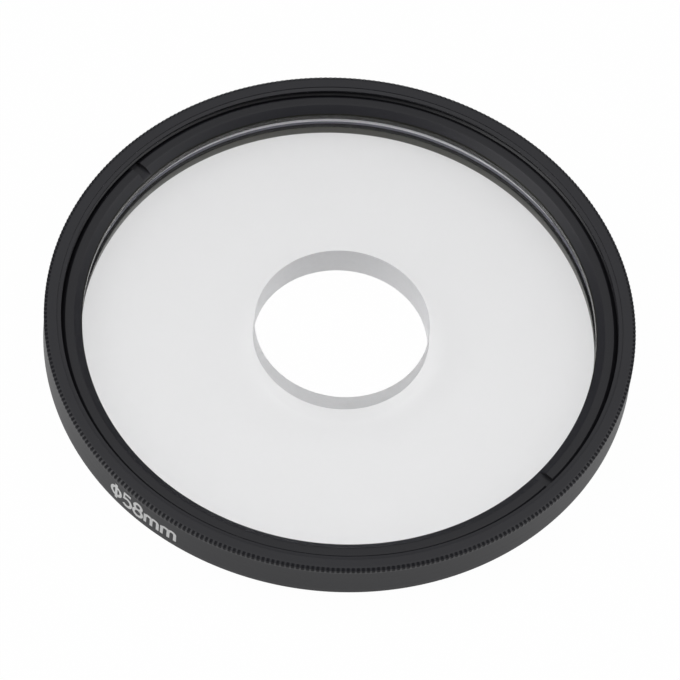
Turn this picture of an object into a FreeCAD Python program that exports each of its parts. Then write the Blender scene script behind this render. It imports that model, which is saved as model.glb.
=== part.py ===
import FreeCAD, Part
import Sketcher
import math
import os

# A 58 mm centre spot filter, resting on its rear thread with its front face up.
# The optical axis is Z, and Z = 0 is the end of the rear thread.

# Driving sizes, in millimetres and degrees. The wall's diameter sets the filter's size,
# and every other radius is stepped off from it by a named thickness or clearance.
SIZES = {
    # Filter ring, turned from one bar
    "wall_outside": 60.7,
    "ring_height": 5.9,
    "wall_height": 4.22,
    "foot_bevel": 0.15,
    # Wall thickness at the front thread's crests, and the bevel at its mouth
    "bore_wall": 1.75,
    "mouth_bevel": 0.4,
    # The bore ends this far under the retaining ring, at a step down to the glass's seat
    "bore_runout": 0.42,
    "seat_step": 1.52,
    # Ledge under the glass, and the bore behind it
    "ledge_height": 1.8,
    "ledge_width": 0.51,
    "ledge_bevel": 0.27,
    "rear_bevel": 0.13,
    # Rear thread, stepped in from the wall, with a groove behind it
    "thread_step": 1.375,
    "rear_lead": 0.3,
    "relief_depth": 0.525,
    "relief_width": 0.45,
    # Knurl round the front edge, its tips all but level with the wall
    "knurl_inset": 0.01,
    "knurl_depth": 0.32,
    "knurl_height": 0.65,
    "knurl_teeth": 374,
    # Bored plano-convex glass, flat side down
    "glass_play": 0.08,
    "glass_edge": 2.1,
    "glass_curve": 205.0,
    "glass_bevel": 0.15,
    "spot_bore": 18.0,
    "spot_bevel": 0.12,
    # Retaining ring, screwed in above the glass
    "clamp_recess": 0.72,
    "clamp_play": 0.05,
    "clamp_width": 2.12,
    "clamp_lead": 0.23,
    "dish_width": 0.77,
    "dish_depth": 0.52,
    "slot_width": 1.1,
    "slot_depth": 0.42,
    "slot_azimuth": 324.0,
    "slot_count": 2,
}

# Radii and heights that several sections share, written from the driving sizes
WALL = "(Sizes.wall_outside / 2)"
FRONT = f"({WALL} - Sizes.bore_wall)"
MOUTH = f"({FRONT} + Sizes.mouth_bevel)"
SEAT = f"({FRONT} - Sizes.seat_step)"
LEDGE = f"({SEAT} - Sizes.ledge_width)"
REAR_BORE = f"({LEDGE} - Sizes.ledge_bevel)"
REAR = f"({WALL} - Sizes.thread_step)"
RELIEF = f"({REAR} - Sizes.relief_depth)"
KNURL = f"({WALL} - Sizes.knurl_inset)"
GLASS = f"({SEAT} - Sizes.glass_play)"
SPOT = "Sizes.spot_bore / 2"
CLAMP = f"({FRONT} - Sizes.clamp_play)"
CLAMP_BORE = f"({CLAMP} - Sizes.clamp_width)"
DISH = f"({CLAMP_BORE} + Sizes.dish_width)"
TOP = "Sizes.ring_height"
WALL_FOOT = "(Sizes.ring_height - Sizes.wall_height)"
KNURL_FOOT = "(Sizes.ring_height - Sizes.knurl_height)"
# The solid stock under the knurl, well inside its roots
CORE = f"(({KNURL} - Sizes.knurl_depth + {MOUTH}) / 2)"


def crown(radius):
    """Height of the glass's domed face above its flat face, at a radius."""
    edge = f"({GLASS} - Sizes.glass_bevel)"
    return (f"(Sizes.glass_edge - sqrt(Sizes.glass_curve ^ 2 - {edge} ^ 2)"
            f" + sqrt(Sizes.glass_curve ^ 2 - ({radius}) ^ 2))")


# The retaining ring's inner lower corner bears on the dome
CLAMP_FOOT = f"(Sizes.ledge_height + {crown(CLAMP_BORE)})"
CLAMP_HEIGHT = f"({TOP} - Sizes.clamp_recess - {CLAMP_FOOT})"
BORE_FOOT = f"({CLAMP_FOOT} - Sizes.bore_runout)"

doc = FreeCAD.newDocument("centre_spot_filter")


def make_sheet():
    """Put the driving sizes in a spreadsheet, one row and one alias each."""
    sheet = doc.addObject("Spreadsheet::Sheet", "Sizes")
    for row, (name, size) in enumerate(SIZES.items(), start=1):
        sheet.set(f"A{row}", name.replace("_", " "))
        sheet.set(f"B{row}", str(size))
        sheet.setAlias(f"B{row}", name)
    doc.recompute()
    return sheet


sheet = make_sheet()


def value(expression):
    """The number that an expression of sheet sizes comes to."""
    return float(sheet.evalExpression(expression))


def new_body(label):
    """An empty body that carries a sub-part's name."""
    body = doc.addObject("PartDesign::Body", label)
    body.Label = label
    return body


def origin_plane(body, role):
    """One of the body's own origin planes or axes."""
    return next(f for f in body.Origin.OriginFeatures if f.Role == role)


def new_sketch(body, name, plane, height=None):
    """A sketch on an origin plane, raised by a height expression if one is given."""
    sketch = body.newObject("Sketcher::SketchObject", name)
    sketch.AttachmentSupport = [(origin_plane(body, plane), "")]
    sketch.MapMode = "FlatFace"
    if height is not None:
        sketch.setExpression(".AttachmentOffset.Base.z", height)
    return sketch


def fix_point(sketch, geometry, point, across, up):
    """Hold a point at distances from the origin that are bound to expressions."""
    for kind, expression in (("DistanceX", across), ("DistanceY", up)):
        place = value(expression)
        if abs(place) < 1e-9:
            axis = -2 if kind == "DistanceX" else -1
            sketch.addConstraint(Sketcher.Constraint("PointOnObject", geometry, point, axis))
            continue
        index = sketch.addConstraint(
            Sketcher.Constraint(kind, -1, 1, geometry, point, place))
        sketch.setExpression(f"Constraints[{index}]", expression)


def draw_section(sketch, corners, dome_side=None):
    """Draw a closed outline through (across, up) expressions.

    The side that starts at corner dome_side is an arc centred on the vertical axis.
    """
    places = [FreeCAD.Vector(value(x), value(y), 0) for x, y in corners]
    count = len(corners)
    for i, start in enumerate(places):
        end = places[(i + 1) % count]
        if i == dome_side:
            rise = (end.y ** 2 - start.y ** 2 + end.x ** 2 - start.x ** 2)
            centre = FreeCAD.Vector(0, rise / (2 * (end.y - start.y)), 0)
            circle = Part.Circle(centre, FreeCAD.Vector(0, 0, 1), start.distanceToPoint(centre))
            first = math.atan2(start.y - centre.y, start.x)
            last = math.atan2(end.y - centre.y, end.x)
            sketch.addGeometry(Part.ArcOfCircle(circle, first, last))
        else:
            sketch.addGeometry(Part.LineSegment(start, end))
    for i in range(count):
        sketch.addConstraint(Sketcher.Constraint("Coincident", i, 2, (i + 1) % count, 1))
    if dome_side is not None:
        sketch.addConstraint(Sketcher.Constraint("PointOnObject", dome_side, 3, -2))
    for i, (across, up) in enumerate(corners):
        fix_point(sketch, i, 1, across, up)


def revolve(body, kind, name, corners, dome_side=None):
    """Turn a section about the optical axis, as stock or as a cut."""
    sketch = new_sketch(body, name + "_section", "XZ_Plane")
    draw_section(sketch, corners, dome_side)
    feature = body.newObject(kind, name)
    feature.Profile = sketch
    feature.ReferenceAxis = (sketch, ["V_Axis"])
    feature.Angle = 360
    doc.recompute()
    return feature


def make_filter_ring():
    """The knurled ring with its front thread bore, glass seat and rear thread."""
    body = new_body("filter_ring")
    revolve(body, "PartDesign::Revolution", "turned_ring", [
        (REAR_BORE, "Sizes.rear_bevel"),
        (f"{REAR_BORE} + Sizes.rear_bevel", "0"),
        (f"{REAR} - Sizes.rear_lead", "0"),
        (REAR, "Sizes.rear_lead"),
        (REAR, f"{WALL_FOOT} - Sizes.relief_width"),
        (RELIEF, f"{WALL_FOOT} - Sizes.relief_width"),
        (RELIEF, WALL_FOOT),
        (f"{WALL} - Sizes.foot_bevel", WALL_FOOT),
        (WALL, f"{WALL_FOOT} + Sizes.foot_bevel"),
        (WALL, KNURL_FOOT),
        (CORE, KNURL_FOOT),
        (CORE, TOP),
        (MOUTH, TOP),
        (FRONT, f"{TOP} - Sizes.mouth_bevel"),
        (FRONT, BORE_FOOT),
        (SEAT, BORE_FOOT),
        (SEAT, "Sizes.ledge_height"),
        (LEDGE, "Sizes.ledge_height"),
        (REAR_BORE, "Sizes.ledge_height - Sizes.ledge_bevel"),
    ])
    add_knurl(body)
    return body


def knurl_points():
    """The knurl's outline: tips and roots in turn, evenly spaced round the axis."""
    tip = value(KNURL)
    root = tip - value("Sizes.knurl_depth")
    teeth = round(value("Sizes.knurl_teeth"))
    points = []
    for i in range(2 * teeth):
        turn = math.pi * i / teeth
        radius = root if i % 2 else tip
        points.append(FreeCAD.Vector(radius * math.cos(turn), radius * math.sin(turn), 0))
    return points


def add_circle(sketch, radius):
    """A circle round the origin whose radius is bound to an expression."""
    circle = sketch.addGeometry(
        Part.Circle(FreeCAD.Vector(0, 0, 0), FreeCAD.Vector(0, 0, 1), value(radius)))
    sketch.addConstraint(Sketcher.Constraint("Coincident", circle, 3, -1, 1))
    index = sketch.addConstraint(Sketcher.Constraint("Radius", circle, value(radius)))
    sketch.setExpression(f"Constraints[{index}]", radius)


def add_polygon(sketch, points):
    """A closed outline of straight sides."""
    sketch.addGeometry([Part.LineSegment(a, b) for a, b in zip(points, points[1:] + points[:1])])


def add_knurl(body):
    """A toothed band round the core, straight up to the front face."""
    outline = new_sketch(body, "knurl_outline", "XY_Plane", KNURL_FOOT)
    add_polygon(outline, knurl_points())
    add_circle(outline, f"({CORE} + {MOUTH}) / 2")
    band = body.newObject("PartDesign::Pad", "knurl_band")
    band.Profile = outline
    band.setExpression("Length", "Sizes.knurl_height")
    doc.recompute()


def make_spot_glass():
    """The plano-convex glass with its centre bore, modelled with its flat face at Z = 0."""
    body = new_body("spot_glass")
    edge = f"{GLASS} - Sizes.glass_bevel"
    rim = f"{SPOT} + Sizes.spot_bevel"
    revolve(body, "PartDesign::Revolution", "bored_lens", [
        (rim, "0"),
        (edge, "0"),
        (GLASS, "Sizes.glass_bevel"),
        (GLASS, "Sizes.glass_edge - Sizes.glass_bevel"),
        (edge, "Sizes.glass_edge"),
        (rim, crown(rim)),
        (SPOT, f"{crown(rim)} - Sizes.spot_bevel"),
        (SPOT, "Sizes.spot_bevel"),
    ], dome_side=4)
    body.setExpression(".Placement.Base.z", "Sizes.ledge_height")
    return body


def make_retaining_ring():
    """The threaded ring over the glass, with its dished bore and spanner slots."""
    body = new_body("retaining_ring")
    revolve(body, "PartDesign::Revolution", "dished_ring", [
        (CLAMP_BORE, "0"),
        (CLAMP, "0"),
        (CLAMP, f"{CLAMP_HEIGHT} - Sizes.clamp_lead"),
        (f"{CLAMP} - Sizes.clamp_lead", CLAMP_HEIGHT),
        (DISH, CLAMP_HEIGHT),
        (CLAMP_BORE, f"{CLAMP_HEIGHT} - Sizes.dish_depth"),
    ])
    slot = new_sketch(body, "slot_outline", "XY_Plane", CLAMP_HEIGHT)
    slot.setExpression(".AttachmentOffset.Rotation.Angle", "Sizes.slot_azimuth")
    half = "Sizes.slot_width / 2"
    draw_section(slot, [
        (f"{CLAMP_BORE} - Sizes.slot_width", f"-{half}"),
        (f"{CLAMP} + Sizes.slot_width", f"-{half}"),
        (f"{CLAMP} + Sizes.slot_width", half),
        (f"{CLAMP_BORE} - Sizes.slot_width", half),
    ])
    cut = body.newObject("PartDesign::Pocket", "spanner_slot")
    cut.Profile = slot
    cut.setExpression("Length", "Sizes.slot_depth")
    doc.recompute()
    slots = body.newObject("PartDesign::PolarPattern", "spanner_slots")
    slots.Originals = [cut]
    slots.Axis = (origin_plane(body, "Z_Axis"), [""])
    slots.Angle = 360
    slots.setExpression("Occurrences", "Sizes.slot_count")
    body.Tip = slots
    body.setExpression(".Placement.Base.z", CLAMP_FOOT)
    return body


bodies = [make_filter_ring(), make_spot_glass(), make_retaining_ring()]
doc.recompute()

for item in doc.Objects:
    if "Invalid" in item.State or "Error" in item.State:
        raise RuntimeError(f"{item.Label} did not compute: {item.State}")
for body in bodies:
    shape = body.Shape
    if shape.isNull() or not shape.isValid() or len(shape.Solids) != 1:
        raise RuntimeError(f"{body.Label} is not one valid solid")

os.makedirs("parts", exist_ok=True)
for body in bodies:
    body.Shape.exportStep(f"parts/{body.Label}.step")
    box = body.Shape.BoundBox
    print(f"{body.Label}: {body.Shape.Volume:.1f} mm3, Z {box.ZMin:.2f} to {box.ZMax:.2f},"
          f" {box.XLength:.2f} across")
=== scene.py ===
"""Dresses the 58 mm centre spot filter: knurled ring, bored glass, retaining ring and size mark.

Sizes are in millimetres and degrees. The optical axis is Z, the filter stands on Z = 0
with its front face up, and the meshes are written in metres.
"""
from __future__ import annotations

import logging
import math
from collections.abc import Callable
from dataclasses import dataclass, field
from enum import Enum

import bmesh
import bpy
import numpy as np
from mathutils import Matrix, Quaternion, Vector

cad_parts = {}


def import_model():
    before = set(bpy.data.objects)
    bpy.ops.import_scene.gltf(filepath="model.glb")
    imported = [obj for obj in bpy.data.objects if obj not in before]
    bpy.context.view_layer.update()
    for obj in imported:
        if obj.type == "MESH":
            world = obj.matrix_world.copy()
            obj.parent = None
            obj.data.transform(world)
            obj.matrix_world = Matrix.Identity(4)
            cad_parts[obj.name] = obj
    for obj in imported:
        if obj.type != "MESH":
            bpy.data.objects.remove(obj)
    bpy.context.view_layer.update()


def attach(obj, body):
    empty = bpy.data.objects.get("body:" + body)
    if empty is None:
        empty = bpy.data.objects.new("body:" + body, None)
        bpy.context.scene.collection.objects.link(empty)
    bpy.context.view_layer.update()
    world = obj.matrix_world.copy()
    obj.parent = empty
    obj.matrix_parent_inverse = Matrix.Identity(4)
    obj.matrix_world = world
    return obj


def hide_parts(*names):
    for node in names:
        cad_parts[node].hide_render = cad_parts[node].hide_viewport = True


log = logging.getLogger("centre_spot_filter")

MM = 0.001
FULL_TURN = 2.0 * math.pi

# Height of the knurl's widest part, in millimetres, which the camera is aimed at
WIDEST = 5.90

# Pitch of all threads, and the height of the front thread's groove at the angle 0
PITCH = 0.75
FRONT_GROOVE = 5.16

# Edges that turn by more than this many degrees stay crisp
SHARP_ANGLE = 32.0

# Points of a mesh that are closer than this, in metres, are taken for one
SAME_PLACE = 1e-7


class Side(Enum):
    """Whether a thread's groove is cut into a bore or into a shaft."""

    BORE = 1.0
    SHAFT = -1.0


class GlassFace(Enum):
    """Material slots of the glass."""

    POLISHED = 0
    GROUND = 1


class RetainerFace(Enum):
    """Material slots of the retaining ring."""

    ANODISED = 0
    BORE = 1
    DISH = 2


class RingFace(Enum):
    """Material slots of the turned ring."""

    ANODISED = 0
    SEAT = 1
    # Painted light: the lighter, warmer finish of the rear bore
    REAR_BORE = 2
    # Painted shade: the near-black finish of the ledge's bevel
    LEDGE_EDGE = 3
    # Painted shade: the darker finish of the knurl's grooves
    GROOVE = 4


# Shapes as arrays

def smooth_step(t: np.ndarray) -> np.ndarray:
    """Ease from 0 to 1: three times the square less twice the cube of t, held at both ends."""
    t = np.clip(t, 0.0, 1.0)
    return t * t * (3.0 - 2.0 * t)


def soft_positive(x: np.ndarray, ease: float) -> np.ndarray:
    """The positive part of x with its corner eased.

    It is half of the sum of x and the root of x squared plus ease squared.
    """
    return 0.5 * (x + np.sqrt(x * x + ease * ease))


def angles(columns: int) -> np.ndarray:
    """Evenly spaced angles of one turn, without the last, which is the first again."""
    return np.arange(columns) * (FULL_TURN / columns)


def rounded(corners: list[tuple[float, float, float]], steps: int = 3) -> np.ndarray:
    """Round the corners of an open outline.

    Each corner is replaced by an arc tangent to both of its sides. Its points are the
    quadratic curve whose middle handle is the corner and whose ends lie one setback from
    it, which is close to a circle for a small fillet.

    Args:
        corners: (across, up, setback) of each corner. A setback of 0 keeps it sharp.
        steps: Segments in each fillet.

    Returns:
        Points of the rounded outline as an array of (across, up).
    """
    places = np.array([(a, b) for a, b, _ in corners])
    out: list[np.ndarray] = []
    for i, (_, _, setback) in enumerate(corners):
        here = places[i]
        if setback <= 0.0 or i in (0, len(corners) - 1):
            out.append(here[None, :])
            continue
        before = places[i - 1] - here
        after = places[i + 1] - here
        start = here + before * min(0.45, setback / np.linalg.norm(before))
        end = here + after * min(0.45, setback / np.linalg.norm(after))
        t = np.linspace(0.0, 1.0, steps + 1)[:, None]
        out.append((1 - t) ** 2 * start + 2 * t * (1 - t) * here + t ** 2 * end)
    return np.concatenate(out)


def subdivided(outline: np.ndarray, longest: float) -> np.ndarray:
    """Add points along an outline's long sides, evenly, until no side is over longest."""
    out = [outline[:1]]
    for start, end in zip(outline[:-1], outline[1:]):
        count = max(1, math.ceil(float(np.linalg.norm(end - start)) / longest))
        t = np.linspace(0.0, 1.0, count + 1)[1:, None]
        out.append(start + (end - start) * t)
    return np.concatenate(out)


@dataclass(frozen=True)
class Thread:
    """A right-handed 60 degree screw thread, as a groove cut into a plain bore or shaft.

    The groove's centre rises by one pitch in each turn. At a distance d from the centre
    its depth is (half mouth less d) over the tangent of 30 degrees, eased into the crest
    at 0 and into the flat root at full depth.
    """

    pitch: float
    depth: float
    half_mouth: float
    height_at_zero: float
    side: Side
    ease: float = 0.03
    flank_angle: float = 30.0

    def cut(self, turn: np.ndarray, up: np.ndarray) -> np.ndarray:
        """Depth of the groove at an angle and a height.

        Args:
            turn: Angles about the axis, in radians.
            up: Heights, in millimetres.

        Returns:
            Depths in millimetres, positive outwards in a bore and inwards on a shaft.
        """
        phase = (up - self.height_at_zero) / self.pitch - turn / FULL_TURN
        distance = np.abs((phase + 0.5) % 1.0 - 0.5) * self.pitch
        flank = (self.half_mouth - distance) / math.tan(math.radians(self.flank_angle))
        groove = self.depth - soft_positive(self.depth - soft_positive(flank, self.ease), self.ease)
        return groove * self.side.value


class Surface:
    """Collects points and faces worked out as arrays, and makes one mesh of them."""

    def __init__(self) -> None:
        """Start with no points and no faces."""
        self.points: list[np.ndarray] = []
        self.faces: list[np.ndarray] = []
        self.slots: list[np.ndarray] = []
        self.count = 0

    def add_points(self, radius: np.ndarray, turn: np.ndarray, up: np.ndarray) -> np.ndarray:
        """Add points given by radius, angle and height.

        A point lies at radius times the cosine and sine of its angle, and at its height.

        Args:
            radius: Distances from the axis, in millimetres.
            turn: Angles in radians.
            up: Heights in millimetres. The three arrays are broadcast together.

        Returns:
            Indices of the points, in the shape of the broadcast arrays.
        """
        radius, turn, up = np.broadcast_arrays(radius, turn, up)
        place = np.stack([radius * np.cos(turn), radius * np.sin(turn), up], axis=-1)
        index = np.arange(self.count, self.count + radius.size).reshape(radius.shape)
        self.points.append(place.reshape(-1, 3))
        self.count += radius.size
        return index

    def add_faces(self, faces: np.ndarray, slot: int | np.ndarray = 0) -> None:
        """Add faces that all have the same number of corners."""
        self.faces.append(faces)
        self.slots.append(np.full(len(faces), slot))

    def add_band(self, index: np.ndarray, slot: int | np.ndarray = 0) -> None:
        """Join the rows of a grid of points that closes on itself round the axis.

        Args:
            index: Point indices, one row for each place along the section.
            slot: Material slot of the faces, one for all or a grid with one for each.
        """
        low, high = index[:-1], index[1:]
        faces = np.stack([low, np.roll(low, -1, axis=1), np.roll(high, -1, axis=1), high], axis=-1)
        self.add_faces(faces.reshape(-1, 4), np.broadcast_to(slot, low.shape).ravel())

    def add_step_in_count(self, few: np.ndarray, many: np.ndarray, first_is_few: bool) -> None:
        """Join a row of few points to a row that has several times as many.

        Each side of the sparse row takes the fan of the dense row's sides that lie in
        front of it: one half of them turns about its first point and one half about its
        second, with one triangle between.

        Args:
            few: Indices of the sparse row.
            many: Indices of the dense row, the same angles and those between.
            first_is_few: True if the sparse row comes first along the section.
        """
        ratio = len(many) // len(few)
        half = ratio // 2
        own = many.reshape(len(few), ratio)
        group = np.concatenate([own, np.roll(many, -ratio)[::ratio, None]], axis=1)
        here, following = few[:, None], np.roll(few, -1)[:, None]
        first = np.stack([np.broadcast_to(here, (len(few), half)),
                          group[:, 1:half + 1], group[:, :half]], axis=-1)
        last = np.stack([np.broadcast_to(following, (len(few), ratio - half)),
                         group[:, half + 1:], group[:, half:-1]], axis=-1)
        middle = np.stack([here, following, group[:, half:half + 1]], axis=-1)
        faces = np.concatenate([first, middle, last], axis=1).reshape(-1, 3)
        self.add_faces(faces if first_is_few else faces[:, ::-1])

    def bend(self, move: Callable[[np.ndarray], np.ndarray]) -> None:
        """Pass all points through a function of places in millimetres."""
        self.points = [move(points) for points in self.points]

    def volume(self) -> float:
        """Signed volume: the sum of a sixth of each fan triangle's triple product."""
        points = np.concatenate(self.points)
        total = 0.0
        for faces in self.faces:
            for k in range(1, faces.shape[1] - 1):
                a, b, c = points[faces[:, 0]], points[faces[:, k]], points[faces[:, k + 1]]
                total += float(np.einsum("ij,ij->i", a, np.cross(b, c)).sum()) / 6.0
        return total

    def make(self, name: str) -> bpy.types.Object:
        """Write the mesh in metres, facing outwards, and link its object at the origin.

        Args:
            name: Name of the piece.

        Returns:
            The new object.
        """
        flip = self.volume() < 0.0
        faces = [f[:, ::-1] if flip else f for f in self.faces]
        mesh = bpy.data.meshes.new(name)
        points = np.concatenate(self.points) * MM
        sizes = np.concatenate([np.full(len(f), f.shape[1]) for f in faces])
        corners = np.concatenate([f.ravel() for f in faces])
        mesh.vertices.add(len(points))
        mesh.vertices.foreach_set("co", points.astype(np.float32).ravel())
        mesh.loops.add(len(corners))
        mesh.loops.foreach_set("vertex_index", corners.astype(np.int32))
        mesh.polygons.add(len(sizes))
        mesh.polygons.foreach_set("loop_start", (np.cumsum(sizes) - sizes).astype(np.int32))
        mesh.polygons.foreach_set("material_index", np.concatenate(self.slots).astype(np.int32))
        mesh.update(calc_edges=True)
        mesh.validate(clean_customdata=False)
        mesh.shade_smooth()
        mesh.set_sharp_from_angle(angle=math.radians(SHARP_ANGLE))
        piece = bpy.data.objects.new(name, mesh)
        bpy.context.scene.collection.objects.link(piece)
        return piece


# Finishes

class Nodes:
    """A node tree, with short calls to add and join nodes."""

    def __init__(self, tree: bpy.types.NodeTree) -> None:
        """Work on a node tree that exists."""
        self.tree = tree

    def add(self, kind: str, **settings: object) -> bpy.types.Node:
        """Add a node of a kind and set its properties."""
        node = self.tree.nodes.new(kind)
        for key, setting in settings.items():
            setattr(node, key, setting)
        return node

    def join(self, source: bpy.types.NodeSocket, target: bpy.types.NodeSocket) -> None:
        """Join two sockets."""
        self.tree.links.new(source, target)

    def math(self, operation: str, *values: object) -> bpy.types.NodeSocket:
        """A Math node of numbers or sockets, and its result."""
        node = self.add("ShaderNodeMath", operation=operation)
        for socket, value in zip(node.inputs, values):
            if isinstance(value, bpy.types.NodeSocket):
                self.join(value, socket)
            else:
                socket.default_value = value
        return node.outputs[0]

    def eased(self, value: bpy.types.NodeSocket, source: tuple[float, float],
              target: tuple[float, float]) -> bpy.types.NodeSocket:
        """Map one range of a value onto another, eased and held at both ends."""
        node = self.add("ShaderNodeMapRange", interpolation_type="SMOOTHSTEP")
        self.join(value, node.inputs["Value"])
        node.inputs["From Min"].default_value, node.inputs["From Max"].default_value = source
        node.inputs["To Min"].default_value, node.inputs["To Max"].default_value = target
        return node.outputs["Result"]


class Graph(Nodes):
    """A material's node tree, with its shader, its noises and its blends of grey."""

    def __init__(self, name: str) -> None:
        """Make a material that holds a Principled shader and its output."""
        self.material = bpy.data.materials.new(name)
        self.material.use_nodes = True
        super().__init__(self.material.node_tree)
        self.shader = self.tree.nodes["Principled BSDF"]
        self.output = self.tree.nodes["Material Output"]

    def noise(self, vector: bpy.types.NodeSocket, grain: float, detail: float,
              rough: float) -> bpy.types.NodeSocket:
        """Noise between 0 and 1 over a vector, with a grain given in millimetres."""
        node = self.add("ShaderNodeTexNoise")
        self.join(vector, node.inputs["Vector"])
        node.inputs["Scale"].default_value = 1.0 / (grain * MM)
        node.inputs["Detail"].default_value = detail
        node.inputs["Roughness"].default_value = rough
        return node.outputs["Fac"]

    def spread(self, value: bpy.types.NodeSocket, low: float, high: float) -> bpy.types.NodeSocket:
        """Map a value around the middle of 0 to 1 onto a range, without clamping."""
        node = self.add("ShaderNodeMapRange", clamp=False)
        self.join(value, node.inputs["Value"])
        node.inputs["From Min"].default_value = 0.25
        node.inputs["From Max"].default_value = 0.75
        node.inputs["To Min"].default_value = low
        node.inputs["To Max"].default_value = high
        return node.outputs["Result"]

    def blend(self, share: bpy.types.NodeSocket, dark: float, light: float,
              dark_blueness: float, light_blueness: float) -> bpy.types.NodeSocket:
        """A blend of two greys by a share from 0 to 1, each with its blue channel scaled."""
        node = self.add("ShaderNodeMix", data_type="RGBA")
        node.inputs[6].default_value = (dark, dark, dark * dark_blueness, 1.0)
        node.inputs[7].default_value = (light, light, light * light_blueness, 1.0)
        self.join(share, node.inputs[0])
        return node.outputs[2]

    def bump(self, height: bpy.types.NodeSocket, size: float) -> bpy.types.Node:
        """A bump of a size in millimetres."""
        node = self.add("ShaderNodeBump")
        node.inputs["Distance"].default_value = size * MM
        self.join(height, node.inputs["Height"])
        return node


@dataclass(frozen=True)
class AnodisedFinish:
    """Black anodised aluminium: dyed, satin, with the lathe's fine turning lines under it."""

    name: str
    dark: float = 0.0145
    light: float = 0.0220
    roughness: float = 0.42
    specular: float = 0.40
    line_spacing: float = 0.09
    line_height: float = 0.0012
    line_spread: float = 0.04
    grain_size: float = 0.05
    grain_height: float = 0.0010
    grain_spread: float = 0.03
    cloud_size: float = 6.0
    blueness: float = 1.22

    def build(self) -> bpy.types.Material:
        """Build the material.

        The turning lines are noise over radius and height alone, so they run round the
        axis on every face. The grain is noise over all three coordinates.

        Returns:
            The material.
        """
        g = Graph(self.name)
        place = g.add("ShaderNodeTexCoord").outputs["Object"]
        split = g.add("ShaderNodeSeparateXYZ")
        g.join(place, split.inputs[0])
        x, y, z = split.outputs
        squares = g.math("ADD", g.math("MULTIPLY", x, x), g.math("MULTIPLY", y, y))
        radius = g.math("SQRT", squares)
        section = g.add("ShaderNodeCombineXYZ")
        g.join(radius, section.inputs[0])
        g.join(z, section.inputs[1])
        lines = g.noise(section.outputs[0], self.line_spacing, 3.0, 0.6)
        grain = g.noise(place, self.grain_size, 2.0, 0.5)
        cloud = g.noise(place, self.cloud_size, 3.0, 0.5)
        share = g.math("MULTIPLY", g.math("ADD", cloud, lines), 0.5)
        tone = g.blend(share, self.dark, self.light, self.blueness, self.blueness)
        g.join(tone, g.shader.inputs["Base Color"])
        low, high = self.roughness - self.line_spread, self.roughness + self.line_spread
        uneven = g.spread(grain, -self.grain_spread, self.grain_spread)
        g.join(g.math("ADD", uneven, g.spread(lines, low, high)), g.shader.inputs["Roughness"])
        g.shader.inputs["Specular IOR Level"].default_value = self.specular
        coarse = g.bump(lines, self.line_height)
        fine = g.bump(grain, self.grain_height)
        g.join(coarse.outputs[0], fine.inputs["Normal"])
        g.join(fine.outputs[0], g.shader.inputs["Normal"])
        return g.material


@dataclass(frozen=True)
class PolishedGlass:
    """Clear crown glass with a polished face."""

    name: str
    refraction: float = 1.52
    colour: tuple[float, float, float] = (0.985, 0.986, 0.992)
    haze_size: float = 4.0
    haze: float = 0.006

    def build(self) -> bpy.types.Material:
        """Build the material: full transmission with a trace of surface haze."""
        g = Graph(self.name)
        shader = g.shader.inputs
        shader["Base Color"].default_value = (*self.colour, 1.0)
        shader["IOR"].default_value = self.refraction
        shader["Transmission Weight"].default_value = 1.0
        place = g.add("ShaderNodeTexCoord").outputs["Object"]
        haze = g.noise(place, self.haze_size, 3.0, 0.5)
        g.join(g.spread(haze, 0.0, self.haze), shader["Roughness"])
        return g.material


@dataclass(frozen=True)
class GroundGlass:
    """Glass left matt by the grinding wheel, on the outer edge and in the bore."""

    name: str
    refraction: float = 1.52
    roughness: float = 0.5
    roughness_spread: float = 0.05
    clear: float = 0.35
    colour: float = 0.92
    grit_size: float = 0.06
    grit_height: float = 0.0015
    blotch_size: float = 0.5
    blotch_depth: float = 0.10
    dark_blueness: float = 1.0222
    light_blueness: float = 1.02
    carried_light: float = 0.05

    def build(self) -> bpy.types.Material:
        """Build the material: part matt white, part rough transmission, with grit.

        The glass carries light from all sides to its ground faces, which a path tracer finds
        only in part. A little even glow stands for the rest.
        """
        g = Graph(self.name)
        shader = g.shader.inputs
        shader["IOR"].default_value = self.refraction
        shader["Transmission Weight"].default_value = self.clear
        place = g.add("ShaderNodeTexCoord").outputs["Object"]
        grit = g.noise(place, self.grit_size, 2.0, 0.6)
        blotch = g.noise(place, self.blotch_size, 2.0, 0.5)
        dark = self.colour * (1.0 - self.blotch_depth)
        tone = g.blend(blotch, dark, self.colour, self.dark_blueness, self.light_blueness)
        g.join(tone, shader["Base Color"])
        shader["Emission Color"].default_value = (1.0, 1.0, 1.0, 1.0)
        shader["Emission Strength"].default_value = self.carried_light
        low, high = self.roughness - self.roughness_spread, self.roughness + self.roughness_spread
        g.join(g.spread(grit, low, high), shader["Roughness"])
        g.join(g.bump(grit, self.grit_height).outputs[0], shader["Normal"])
        return g.material


@dataclass(frozen=True)
class PrintedWhite:
    """White ink printed on the anodised wall, a little uneven at its scale."""

    name: str
    colour: float = 0.90
    mottle_size: float = 0.12
    mottle_depth: float = 0.10
    smoothest: float = 0.55
    roughest: float = 0.70

    def build(self) -> bpy.types.Material:
        """Build the material: matt white with fine mottling."""
        g = Graph(self.name)
        place = g.add("ShaderNodeTexCoord").outputs["Object"]
        mottle = g.noise(place, self.mottle_size, 3.0, 0.6)
        dark = self.colour * (1.0 - self.mottle_depth)
        tone = g.blend(mottle, dark, self.colour, 1.0, 1.0)
        g.join(tone, g.shader.inputs["Base Color"])
        g.join(g.spread(mottle, self.smoothest, self.roughest), g.shader.inputs["Roughness"])
        return g.material


# Pieces

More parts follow.
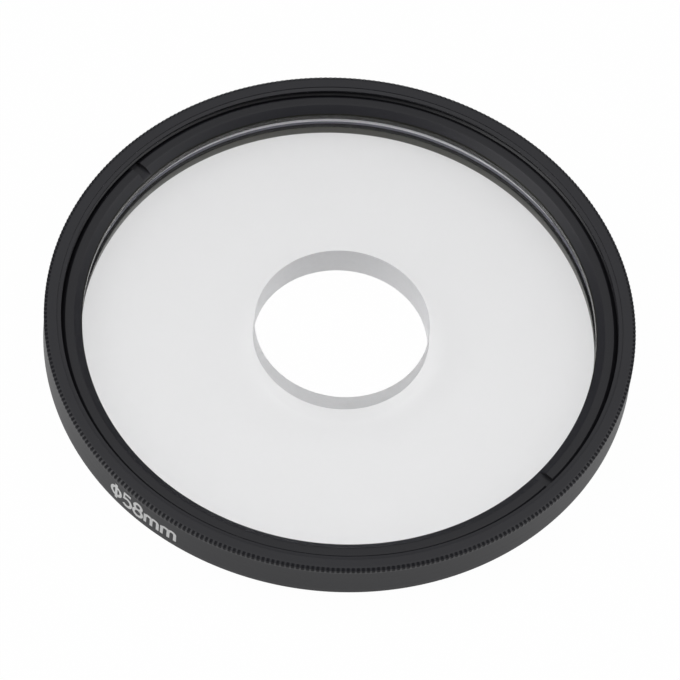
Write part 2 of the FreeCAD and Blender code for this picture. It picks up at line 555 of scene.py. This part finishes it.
@dataclass
class FilterRing:
    """The turned ring: knurled front edge, front thread, glass ledge and rear thread."""

    top: float = 6.03
    wall: float = 30.35
    wall_foot: float = 1.68
    foot_bevel: float = 0.12
    knurl_tip: float = 30.41
    knurl_depth: float = 0.03
    knurl_bevel: float = 0.29
    bevel_height: float = 0.16
    knurl_height: float = 0.66
    knurl_runout: float = 0.22
    knurl_drops: tuple[float, ...] = (
        0.0, 0.014, 0.05, 0.09, 0.13, 0.16, 0.42, 0.49, 0.55, 0.60, 0.68)
    teeth: int = 374
    points_per_tooth: int = 10
    groove_share: float = 0.60
    groove_flank: float = 0.10
    # How far into each groove, and down to how near the knurl's foot, the painted shade reaches
    shade_reach: float = 0.40
    shade_stop: float = 0.14
    mouth: float = 29.09
    mouth_step: float = 0.09
    crest: float = 28.65
    crest_top: float = 5.90
    thread_foot: float = 3.546
    seat: float = 27.08
    ledge: float = 1.80
    ledge_inner: float = 26.60
    rear_bore: float = 26.30
    rear_bevel: float = 0.13
    rear_thread: float = 28.975
    rear_lead: float = 0.34
    rear_rows: int = 36
    relief: float = 28.45
    relief_width: float = 0.45
    hidden_top: float = 4.95
    hidden_rows: int = 20
    shown_rows: int = 38
    columns: int = 374
    finish: AnodisedFinish = field(default_factory=lambda: AnodisedFinish("black_anodised_ring"))
    seat_finish: AnodisedFinish = field(default_factory=lambda: AnodisedFinish(
        "turned_seat", dark=0.14, light=0.26, line_spacing=0.05))
    # Painted light: the rear bore is lighter and warmer than the anodised ring, standing in for the
    # light of the white floor below it
    bore_finish: AnodisedFinish = field(default_factory=lambda: AnodisedFinish(
        "rear_bore_painted_light", dark=0.052, light=0.078, roughness=0.5, blueness=0.80))
    # Painted shade: the ledge's bevel is darker than the anodised ring, standing in for the shade
    # it lies in under the glass
    ledge_shade_finish: AnodisedFinish = field(default_factory=lambda: AnodisedFinish(
        "painted_shade_ledge_edge", dark=0.004, light=0.007, specular=0.10, roughness=0.5))
    # Painted shade: darker and less glossy than the teeth, standing in for the shade deep in the
    # grooves
    groove_shade_finish: AnodisedFinish = field(default_factory=lambda: AnodisedFinish(
        "painted_shade_knurl_grooves", dark=0.010, light=0.014, specular=0.10, roughness=0.5))
    front_thread: Thread = Thread(
        PITCH, depth=0.406, half_mouth=0.281, height_at_zero=FRONT_GROOVE, side=Side.BORE)
    back_thread: Thread = Thread(
        PITCH, depth=0.43, half_mouth=0.30, height_at_zero=0.40, side=Side.SHAFT)

    def groove_reach(self, turn: np.ndarray) -> np.ndarray:
        """How far each angle lies in a groove of the knurl, from 0 on a tooth to 1 at the root.

        Within each tooth the phase runs from 0 to 1. The reach grows evenly from half of the
        groove's share away from its centre, and is full one flank's width further in.
        """
        phase = (turn * self.teeth / FULL_TURN) % 1.0
        inside = 0.5 * self.groove_share - np.abs(phase - 0.5)
        return np.clip(inside / self.groove_flank, 0.0, 1.0)

    def add_knurl(self, surface: Surface) -> np.ndarray:
        """Add the toothed band with the bevel that runs across it at the front face.

        The grooves follow the bevel at an even depth. Over the last part of the knurl's
        height, its runout, they ease into the plain wall, as the knurling wheel leaves it.
        Their faces have a darker finish of their own, which is painted shade in the grooves.

        Returns:
            Indices of the grid's rows, from the front face down.
        """
        turn = angles(self.teeth * self.points_per_tooth)[None, :]
        drop = np.array(self.knurl_drops)[:, None]
        below = drop - (self.knurl_height - self.knurl_runout)
        fade = 1.0 - smooth_step(below / self.knurl_runout)
        reach = self.groove_reach(turn)
        radius = self.wall + (self.knurl_tip - self.wall - self.knurl_depth * reach) * fade
        bevel = self.knurl_bevel * np.clip(1.0 - drop / self.bevel_height, 0.0, 1.0)
        index = surface.add_points(radius - bevel, turn, self.top - drop)
        middle = angles(turn.size)[None, :] + 0.5 * FULL_TURN / turn.size
        # Faces deep in a groove, above the runout, take the painted shade finish
        deep = self.groove_reach(middle) > self.shade_reach
        dark = deep & (drop[:-1] < self.knurl_height - self.shade_stop)
        surface.add_band(index, np.where(dark, RingFace.GROOVE.value, RingFace.ANODISED.value))
        return index

    def add_inside(self, surface: Surface, turn: np.ndarray, last: np.ndarray) -> np.ndarray:
        """Add the end face, rear bore, ledge and seat, each with its own finish.

        Two rows 0.02 mm apart at each corner keep it crisp.

        Args:
            surface: The ring's surface so far.
            turn: Angles of the columns.
            last: Indices of the rear thread's last row.

        Returns:
            Indices of the row at the foot of the front thread.
        """
        near = 0.01
        easing = 0.04
        low = self.ledge - (self.ledge_inner - self.rear_bore)
        runs = [
            (RingFace.ANODISED, [
                (self.rear_thread - self.rear_lead - 0.06, 0.0),
                (self.rear_bore + self.rear_bevel, 0.0),
                (self.rear_bore + near, self.rear_bevel - near)]),
            # The rear bore, with its painted light finish
            (RingFace.REAR_BORE, [
                (self.rear_bore, self.rear_bevel + near),
                (self.rear_bore, low - near)]),
            # The ledge's bevel, with its painted shade finish
            (RingFace.LEDGE_EDGE, [
                (self.rear_bore + near, low + near),
                (self.ledge_inner - near, self.ledge - near)]),
            (RingFace.SEAT, [
                (self.ledge_inner + near, self.ledge),
                (self.seat - 2.0 * near, self.ledge)]),
            (RingFace.ANODISED, [
                (self.seat, self.ledge + 2.0 * near),
                (self.seat, self.thread_foot - easing),
                (self.seat + easing, self.thread_foot),
                (self.crest, self.thread_foot)]),
        ]
        for face, corners in runs:
            outline = subdivided(np.array(corners), 0.5)
            rows = surface.add_points(outline[:, :1], turn, outline[:, 1:])
            surface.add_band(np.concatenate([last[None, :], rows]), face.value)
            last = rows[-1]
        return last

    def build(self) -> bpy.types.Object:
        """Build the ring as one closed mesh, section by section round its profile."""
        surface = Surface()
        turn = angles(self.columns)[None, :]
        knurl = self.add_knurl(surface)

        # From the foot of the knurl down the wall, under it and out to the rear thread
        relief_foot = self.wall_foot - self.relief_width
        outside = rounded([
            (self.wall, self.top - self.knurl_height - 0.30, 0.0),
            (self.wall, self.wall_foot + self.foot_bevel, 0.04),
            (self.wall - self.foot_bevel, self.wall_foot, 0.04),
            (self.relief, self.wall_foot, 0.03),
            (self.relief, relief_foot + 0.05, 0.05),
            (self.relief + 0.05, relief_foot, 0.0),
        ])
        outside = subdivided(outside, 0.8)
        wall = surface.add_points(outside[:, :1], turn, outside[:, 1:])
        surface.add_step_in_count(wall[0], knurl[-1], first_is_few=False)
        surface.add_band(wall)

        # The rear thread: its groove fades in at the relief, and the lead cone trims its end
        start = relief_foot - 0.02
        up = np.linspace(start, 0.0, self.rear_rows)[:, None]
        cut = self.back_thread.cut(turn, up) * smooth_step((start - up) / 0.12)
        cone = self.rear_thread - self.rear_lead + up
        radius = np.minimum(self.rear_thread + cut, cone + 0.0 * turn)
        thread = surface.add_points(radius, turn, up)
        surface.add_band(np.concatenate([wall[-1:], thread]))

        bore = self.add_inside(surface, turn, thread[-1])

        # The front thread: closely spaced rows where it shows over the retaining ring
        hidden = np.linspace(self.thread_foot, self.hidden_top, self.hidden_rows)[1:]
        shown = np.linspace(self.hidden_top, self.crest_top, self.shown_rows)[1:]
        up = np.concatenate([hidden, shown])[:, None]
        cut = self.front_thread.cut(turn, up) * smooth_step((up - self.thread_foot - 0.05) / 0.25)
        cut = cut * smooth_step((self.crest_top - up) / 0.09)
        front = surface.add_points(self.crest + cut, turn, up)
        surface.add_band(np.concatenate([bore[None, :], front]))

        # The sloping shelf round the mouth, the low step over it and the front face
        shelf = rounded([
            (self.crest, self.crest_top, 0.0),
            (self.crest + 0.02, self.crest_top + 0.02, 0.0),
            (self.mouth - 0.01, self.top - self.mouth_step, 0.02),
            (self.mouth, self.top - 0.015, 0.0),
            (self.mouth + 0.015, self.top, 0.0),
            (self.mouth + 0.04, self.top, 0.0),
            (self.mouth + 0.4, self.top, 0.0),
            (self.knurl_tip - self.knurl_bevel - 0.15, self.top, 0.0),
        ])
        flat = surface.add_points(shelf[1:, :1], turn, shelf[1:, 1:])
        surface.add_band(np.concatenate([front[-1:], flat]))
        surface.add_step_in_count(flat[-1], knurl[0], first_is_few=True)

        ring = surface.make("knurled_ring")
        for finish in (self.finish, self.seat_finish, self.bore_finish,
                       self.ledge_shade_finish, self.groove_shade_finish):
            ring.data.materials.append(finish.build())
        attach(ring, "root")
        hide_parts("filter_ring")
        return ring


@dataclass
class SpotGlass:
    """The plano-convex glass with its ground bore, flat side down on the ledge."""

    foot: float = 1.812
    outside: float = 27.0
    edge: float = 2.10
    curve: float = 205.0
    bevel: float = 0.15
    spot: float = 9.0
    spot_bevel: float = 0.025
    spot_shift: tuple[float, float] = (0.24, -0.20)
    dome_rows: int = 31
    flat_rows: int = 25
    columns: int = 374
    polished: PolishedGlass = field(default_factory=lambda: PolishedGlass("clear_glass_polished"))
    ground: GroundGlass = field(default_factory=lambda: GroundGlass("clear_glass_ground"))

    def crown(self, radius: np.ndarray) -> np.ndarray:
        """Height of the dome over the flat face.

        It is the circle of the curve's radius: its drop from the axis is the curve less
        the root of the curve squared less the radius squared, and it meets the edge's
        height where the outer bevel starts.
        """
        rim = self.outside - self.bevel
        return (self.edge + np.sqrt(self.curve ** 2 - radius ** 2)
                - math.sqrt(self.curve ** 2 - rim ** 2))

    def shift_hole(self, points: np.ndarray) -> np.ndarray:
        """Move the hole off the axis, as it lies in the photograph, and keep the rim.

        The move is full at the hole and falls off evenly to nothing at the rim. Heights
        on the dome follow the crown at the new radius.

        Args:
            points: Places in millimetres.

        Returns:
            The moved places.
        """
        radius = np.hypot(points[:, 0], points[:, 1])
        share = np.clip((self.outside - radius) / (self.outside - self.spot), 0.0, 1.0)
        moved = points.copy()
        moved[:, 0] += self.spot_shift[0] * share
        moved[:, 1] += self.spot_shift[1] * share
        after = np.hypot(moved[:, 0], moved[:, 1])
        thickness = self.crown(np.maximum(radius, self.spot))
        above = np.clip((points[:, 2] - self.foot) / thickness, 0.0, 1.0)
        moved[:, 2] += above * (self.crown(after) - self.crown(radius))
        return moved

    def build(self) -> bpy.types.Object:
        """Build the glass as one closed mesh with polished and ground faces."""
        surface = Surface()
        turn = angles(self.columns)[None, :]
        rim = self.outside - self.bevel
        inner = self.spot + self.spot_bevel

        dome = np.linspace(inner, rim, self.dome_rows)
        top = surface.add_points(dome[:, None], turn, (self.foot + self.crown(dome))[:, None])
        surface.add_band(top, GlassFace.POLISHED.value)

        side = rounded([
            (rim, self.edge, 0.0),
            (self.outside, self.edge - self.bevel, 0.04),
            (self.outside, self.bevel, 0.04),
            (rim, 0.0, 0.0),
        ])
        side = subdivided(side, 0.5)
        edge = surface.add_points(side[1:-1, :1], turn, self.foot + side[1:-1, 1:])
        flat = np.linspace(rim, inner, self.flat_rows)[:, None]
        under = surface.add_points(flat, turn, self.foot)
        surface.add_band(np.concatenate([top[-1:], edge, under[:1]]), GlassFace.GROUND.value)
        surface.add_band(under, GlassFace.POLISHED.value)

        crown = float(self.crown(np.array([inner]))[0])
        bore = rounded([
            (inner, 0.0, 0.0),
            (self.spot, self.spot_bevel, 0.03),
            (self.spot, crown - self.spot_bevel, 0.03),
            (inner, crown, 0.0),
        ])
        bore = subdivided(bore, 0.4)
        wall = surface.add_points(bore[1:-1, :1], turn, self.foot + bore[1:-1, 1:])
        surface.add_band(np.concatenate([under[-1:], wall, top[:1]]), GlassFace.GROUND.value)
        surface.bend(self.shift_hole)

        glass = surface.make("bored_glass")
        glass.data.materials.append(self.polished.build())
        glass.data.materials.append(self.ground.build())
        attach(glass, "root")
        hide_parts("spot_glass")
        return glass


@dataclass
class RetainingRing:
    """The threaded ring over the glass, with its dished bore and two spanner slots."""

    foot: float = 3.966
    top: float = 5.35
    bore: float = 26.43
    dish: float = 27.31
    dish_depth: float = 0.63
    lip: float = 0.13
    outside: float = 28.55
    thread_depth: float = 0.38
    thread_rows: int = 40
    lead: float = 28.20
    slot_width: float = 1.1
    slot_depth: float = 0.50
    slot_azimuth: float = 324.0
    columns: int = 180
    slot_columns: int = 5
    finish: AnodisedFinish = field(default_factory=lambda: AnodisedFinish(
        "black_anodised_retainer", dark=0.012, light=0.018, specular=0.36))
    dish_finish: AnodisedFinish = field(default_factory=lambda: AnodisedFinish(
        "smooth_retainer_dish", dark=0.018, light=0.024, roughness=0.42, specular=0.28))
    bore_finish: AnodisedFinish = field(default_factory=lambda: AnodisedFinish(
        "burnished_retainer_bore", dark=0.02, light=0.03, roughness=0.16,
        grain_height=0.0003, line_height=0.0003, blueness=0.85))
    thread: Thread = Thread(
        PITCH, thread_depth, half_mouth=0.20, height_at_zero=FRONT_GROOVE - 0.5 * PITCH,
        side=Side.SHAFT)

    def column_angles(self, radius: np.ndarray) -> tuple[np.ndarray, np.ndarray]:
        """Angles of the grid's columns at each radius.

        A slot's walls are parallel, so at a radius they stand at the arc sine of half the
        width over that radius from the slot's middle. The other columns are spread evenly
        between the two slots' walls.

        Args:
            radius: Radii, one row each.

        Returns:
            The angles, and for each column whether it belongs to a slot's floor.
        """
        half = np.arcsin(0.5 * self.slot_width / radius)
        start = math.radians(self.slot_azimuth)
        parts, in_slot = [], []
        for k in range(2):
            middle = start + k * math.pi
            t = np.linspace(-1.0, 1.0, self.slot_columns)[None, :]
            parts.append(middle + half * t)
            in_slot.append(np.ones(self.slot_columns, bool))
            t = np.linspace(0.0, 1.0, self.columns)[None, :]
            parts.append(middle + half + (math.pi - 2.0 * half) * t)
            in_slot.append(np.zeros(self.columns, bool))
        return np.concatenate(parts, axis=1), np.concatenate(in_slot)

    def build(self) -> bpy.types.Object:
        """Build the ring as one closed mesh and dress it."""
        surface = Surface()
        section = rounded([
            (self.bore, self.foot + 0.015, 0.0),
            (self.bore, self.foot + 0.16, 0.0),
            (self.bore, self.top - self.dish_depth, self.lip),
            (self.dish, self.top, 0.06),
            (self.lead, self.top, 0.05),
            (self.lead + 0.03, self.top - 0.03, 0.0),
        ])
        section = subdivided(section, 0.25)
        up = np.linspace(self.top - 0.05, self.foot + 0.05, self.thread_rows)
        threaded = slice(len(section), len(section) + self.thread_rows)
        section = np.concatenate([
            section,
            np.stack([np.full(self.thread_rows, self.outside), up], axis=1),
            [(self.outside - 0.1, self.foot), (self.bore + 0.015, self.foot)],
        ])
        turn, in_slot = self.column_angles(section[:, :1])
        radius = np.broadcast_to(section[:, :1], turn.shape).copy()
        height = np.broadcast_to(section[:, 1:], turn.shape).copy()

        # The thread on the outside, trimmed by the lead cone, and the two slots
        widest = self.outside + self.thread_depth
        crest = widest + self.thread.cut(turn[threaded], height[threaded])
        cone = self.lead + (self.top - height[threaded])
        radius[threaded] = np.minimum(np.minimum(crest, cone), widest)
        height = np.where(in_slot[None, :], np.minimum(height, self.top - self.slot_depth), height)
        index = surface.add_points(radius, turn, height)

        # Foot, bore, dish and the rest, which closes on the foot again
        rise = int(np.argmax(section[:, 1] > self.top - self.dish_depth + 0.05))
        flat = int(np.argmax(section[:, 1] > self.top - 0.03))
        surface.add_band(index[:2], RetainerFace.ANODISED.value)
        surface.add_band(index[1:rise + 1], RetainerFace.BORE.value)
        surface.add_band(index[rise:flat + 1], RetainerFace.DISH.value)
        surface.add_band(np.concatenate([index[flat:], index[:1]]), RetainerFace.ANODISED.value)
        ring = surface.make("slotted_retaining_ring")
        merge_doubles(ring.data)
        for finish in (self.finish, self.bore_finish, self.dish_finish):
            ring.data.materials.append(finish.build())
        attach(ring, "root")
        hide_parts("retaining_ring")
        return ring


def merge_doubles(mesh: bpy.types.Mesh) -> None:
    """Merge points that coincide and drop the faces that this leaves without area."""
    work = bmesh.new()
    work.from_mesh(mesh)
    bmesh.ops.remove_doubles(work, verts=work.verts, dist=SAME_PLACE)
    bmesh.ops.dissolve_degenerate(work, dist=SAME_PLACE, edges=work.edges)
    work.to_mesh(mesh)
    work.free()
    mesh.shade_smooth()
    mesh.set_sharp_from_angle(angle=math.radians(SHARP_ANGLE))


@dataclass
class SizeMark:
    """The filter's diameter printed on the wall: a diameter sign, 58 and mm, in plain strokes."""

    radius: float = 30.35
    azimuth: float = -126.0
    middle: float = 3.62
    cap: float = 2.03
    stroke: float = 0.36
    proud: float = 0.012
    sunk: float = 0.004
    finish: PrintedWhite = field(default_factory=lambda: PrintedWhite("printed_white"))

    @staticmethod
    def arc(cx: float, cy: float, rx: float, ry: float, start: float, end: float) -> np.ndarray:
        """Points of an ellipse's arc, centre plus half axes times cosine and sine."""
        t = np.radians(np.linspace(start, end, max(5, int(abs(end - start) / 9))))
        return np.stack([cx + rx * np.cos(t), cy + ry * np.sin(t)], axis=1)

    def letters(self) -> list[np.ndarray]:
        """Centre lines of all strokes, in units of the figures' height."""
        lines: list[np.ndarray] = []
        x = 0.0
        lines.append(self.arc(x + 0.33, 0.5, 0.33, 0.33, 0, 360))
        lines.append(np.array([(x + 0.33, -0.08), (x + 0.33, 1.08)]))
        x += 0.84
        lines.append(np.concatenate([
            [(x + 0.52, 1.0), (x + 0.10, 1.0), (x + 0.05, 0.56)],
            self.arc(x + 0.27, 0.33, 0.29, 0.31, 125, -140)]))
        x += 0.76
        lines.append(self.arc(x + 0.27, 0.76, 0.23, 0.24, 0, 360))
        lines.append(self.arc(x + 0.27, 0.26, 0.28, 0.27, 0, 360))
        x += 0.76
        for _ in range(2):
            lines.append(np.array([(x, 0.0), (x, 0.68)]))
            for k in range(2):
                left = x + 0.40 * k
                bow = self.arc(left + 0.20, 0.50, 0.20, 0.17, 150, 0)
                lines.append(np.concatenate([[(left, 0.42)], bow, [(left + 0.40, 0.0)]]))
            x += 1.06
        return lines

    def add_stroke(self, surface: Surface, line: np.ndarray, shift: float) -> None:
        """Sweep a flat rectangle along a stroke and wrap it on the wall.

        The sides lie half a stroke's width from the centre line along its normal, which
        is the mean of the neighbouring runs' normals. The distance along the wall over
        the wall's radius is the angle.
        """
        run = np.diff(line, axis=0)
        run = run / np.linalg.norm(run, axis=1)[:, None]
        along = np.concatenate([run[:1], run[:-1] + run[1:], run[-1:]])
        along = along / np.maximum(np.linalg.norm(along, axis=1)[:, None], 1e-9)
        normal = np.stack([-along[:, 1], along[:, 0]], axis=1)
        half = 0.5 * self.stroke / self.cap
        sides = np.stack([line - normal * half, line + normal * half,
                          line + normal * half, line - normal * half], axis=0)
        across = (sides[..., 0] - shift) * self.cap
        up = self.middle + (sides[..., 1] - 0.5) * self.cap
        depth = np.array([0.0, 0.0, 1.0, 1.0])[:, None] * self.proud + self.radius - self.sunk
        turn = math.radians(self.azimuth) + across / self.radius
        index = surface.add_points(depth, turn, up)
        low, high = index, np.roll(index, -1, axis=0)
        faces = np.stack([low[:, :-1], low[:, 1:], high[:, 1:], high[:, :-1]], axis=-1)
        surface.add_faces(faces.reshape(-1, 4))
        surface.add_faces(index[:, 0][None, ::1])
        surface.add_faces(index[:, -1][None, ::-1])

    def build(self) -> bpy.types.Object:
        """Build all strokes as one mesh."""
        surface = Surface()
        lines = self.letters()
        width = max(float(line[:, 0].max()) for line in lines)
        for line in lines:
            self.add_stroke(surface, line, width / 2.0)
        mark = surface.make("size_mark")
        mark.data.materials.append(self.finish.build())
        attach(mark, "root")
        return mark


# Stage

@dataclass(frozen=True)
class Softbox:
    """A square lamp that faces the filter, with its place and size in metres."""

    name: str
    place: tuple[float, float, float]
    size: float
    power: float

    def build(self) -> None:
        """Add the lamp to the scene."""
        data = bpy.data.lights.new(self.name, "AREA")
        data.size = self.size
        data.energy = self.power
        lamp = bpy.data.objects.new(self.name, data)
        lamp.location = self.place
        lamp.rotation_mode = "QUATERNION"
        lamp.rotation_quaternion = Vector(self.place).to_track_quat("Z", "Y")
        bpy.context.scene.collection.objects.link(lamp)


@dataclass(frozen=True)
class Studio:
    """White sweep, soft light and the camera of the photograph."""

    floor_size: float = 3.0
    floor_gap: float = 0.02
    floor_grey: float = 0.80
    floor_glow: float = 0.985
    mirrored_glow: float = 0.60
    through_glow: float = 0.56
    through_level: float = 0.89
    sky_low: float = 0.14
    sky_high: float = 1.20
    sky_rise: tuple[float, float] = (0.60, 0.95)
    shade: float = 0.7
    shade_rise: tuple[float, float] = (0.55, 0.97)
    softboxes: tuple[Softbox, ...] = (
        Softbox("left_softbox", (-0.55, -0.15, 0.65), 0.6, 3.0),
        Softbox("right_softbox", (0.60, 0.10, 0.60), 0.6, 2.0),
    )
    sensor: float = 36.0
    elevation: float = 56.181
    roll: float = 6.302
    distance: float = 789.6
    focal_px: float = 7700.6
    rise_px: float = 20.84
    slide_px: float = 0.4
    frame_px: int = 680

    def add_floor(self) -> None:
        """Add the pale floor, which shows white and keeps a faint shadow.

        It glows by a share of its own for what the camera sees straight, in a reflection
        and through the glass. What is seen through the glass is also a little dimmer.
        """
        half = self.floor_size / 2.0
        mesh = bpy.data.meshes.new("floor")
        corners = [(-half, -half, 0.0), (half, -half, 0.0), (half, half, 0.0), (-half, half, 0.0)]
        mesh.from_pydata(corners, [], [(0, 1, 2, 3)])
        floor = bpy.data.objects.new("floor", mesh)
        floor.location.z = -self.floor_gap * MM
        bpy.context.scene.collection.objects.link(floor)
        g = Graph("white_sweep")
        g.shader.inputs["Base Color"].default_value = (*[self.floor_grey] * 3, 1.0)
        g.shader.inputs["Roughness"].default_value = 0.9
        g.shader.inputs["Specular IOR Level"].default_value = 0.0
        glow = g.add("ShaderNodeEmission")
        path = g.add("ShaderNodeLightPath")
        through = path.outputs["Is Transmission Ray"]
        straight = g.math("MULTIPLY", path.outputs["Is Camera Ray"], self.floor_glow)
        mirrored = g.math("MULTIPLY", path.outputs["Is Glossy Ray"], self.mirrored_glow)
        share = g.math("MAXIMUM", g.math("MAXIMUM", straight, mirrored),
                       g.math("MULTIPLY", through, self.through_glow))
        dimmed = g.math("MULTIPLY", through, 1.0 - self.through_level)
        g.join(g.math("SUBTRACT", 1.0, dimmed), glow.inputs["Strength"])
        mix = g.add("ShaderNodeMixShader")
        g.join(share, mix.inputs[0])
        g.join(g.shader.outputs[0], mix.inputs[1])
        g.join(glow.outputs[0], mix.inputs[2])
        g.join(mix.outputs[0], g.output.inputs[0])
        mesh.materials.append(g.material)

    def add_world(self) -> None:
        """Light the scene with a soft sky that is dim round the place of the camera.

        The sky's level rises from the horizon to the zenith with the direction's height,
        eased. From it comes the shade, which falls off with the cosine of the angle to the
        camera's place. The camera and the glass see it white.
        """
        world = bpy.data.worlds.new("studio")
        bpy.context.scene.world = world
        world.use_nodes = True
        g = Nodes(world.node_tree)

        direction = g.add("ShaderNodeTexCoord").outputs["Generated"]
        split = g.add("ShaderNodeSeparateXYZ")
        g.join(direction, split.inputs[0])
        sky = g.eased(split.outputs[2], self.sky_rise, (self.sky_low, self.sky_high))

        tilt = math.radians(self.elevation)
        toward = g.add("ShaderNodeVectorMath", operation="DOT_PRODUCT")
        g.join(direction, toward.inputs[0])
        toward.inputs[1].default_value = (0.0, -math.cos(tilt), math.sin(tilt))
        lobe = g.eased(toward.outputs["Value"], self.shade_rise, (0.0, 1.0))
        kept = g.math("ADD", g.math("MULTIPLY", lobe, -self.shade), 1.0)

        path = g.add("ShaderNodeLightPath")
        seen = g.math("MAXIMUM", path.outputs["Is Camera Ray"], path.outputs["Is Transmission Ray"])
        level = g.math("MAXIMUM", g.math("MULTIPLY", kept, sky), seen)
        back = g.tree.nodes["Background"]
        g.join(level, back.inputs["Strength"])
        back.inputs["Color"].default_value = (1.0, 1.0, 1.0, 1.0)

    def add_camera(self, target_height: float) -> None:
        """Set the camera where the photograph was taken from.

        It stands at the stated distance from the middle of the knurl's widest circle, is
        rolled about its line of sight, and is then tipped down and turned left by the
        angles that bring that point to its place above and right of the frame's centre.

        Args:
            target_height: Height of the circle, in millimetres.
        """
        tilt = math.radians(self.elevation)
        back = Vector((0.0, -math.cos(tilt), math.sin(tilt)))
        data = bpy.data.cameras.new("camera")
        data.sensor_width = self.sensor
        data.lens = self.sensor * self.focal_px / self.frame_px
        data.clip_start = 0.01
        data.clip_end = 20.0
        camera = bpy.data.objects.new("camera", data)
        target = Vector((0.0, 0.0, target_height * MM))
        camera.location = target + back * self.distance * MM
        camera.rotation_mode = "QUATERNION"
        level = back.to_track_quat("Z", "Y")
        roll = Quaternion(back, math.radians(self.roll))
        tip = Quaternion((1.0, 0.0, 0.0), -math.atan(self.rise_px / self.focal_px))
        turn = Quaternion((0.0, 1.0, 0.0), math.atan(self.slide_px / self.focal_px))
        camera.rotation_quaternion = roll @ level @ tip @ turn
        bpy.context.scene.collection.objects.link(camera)
        bpy.context.scene.camera = camera

    def build(self, target_height: float) -> None:
        """Set the whole stage."""
        bpy.context.scene.view_settings.view_transform = "Standard"
        self.add_floor()
        self.add_world()
        for softbox in self.softboxes:
            softbox.build()
        self.add_camera(target_height)


def main() -> None:
    """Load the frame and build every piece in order."""
    logging.basicConfig(level=logging.INFO, format="%(message)s")
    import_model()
    for part in (FilterRing(), SpotGlass(), RetainingRing(), SizeMark()):
        piece = part.build()
        mesh = piece.data
        log.info("%s: %d faces, %d points", piece.name, len(mesh.polygons), len(mesh.vertices))
    Studio().build(WIDEST)


if __name__ == "__main__":
    main()
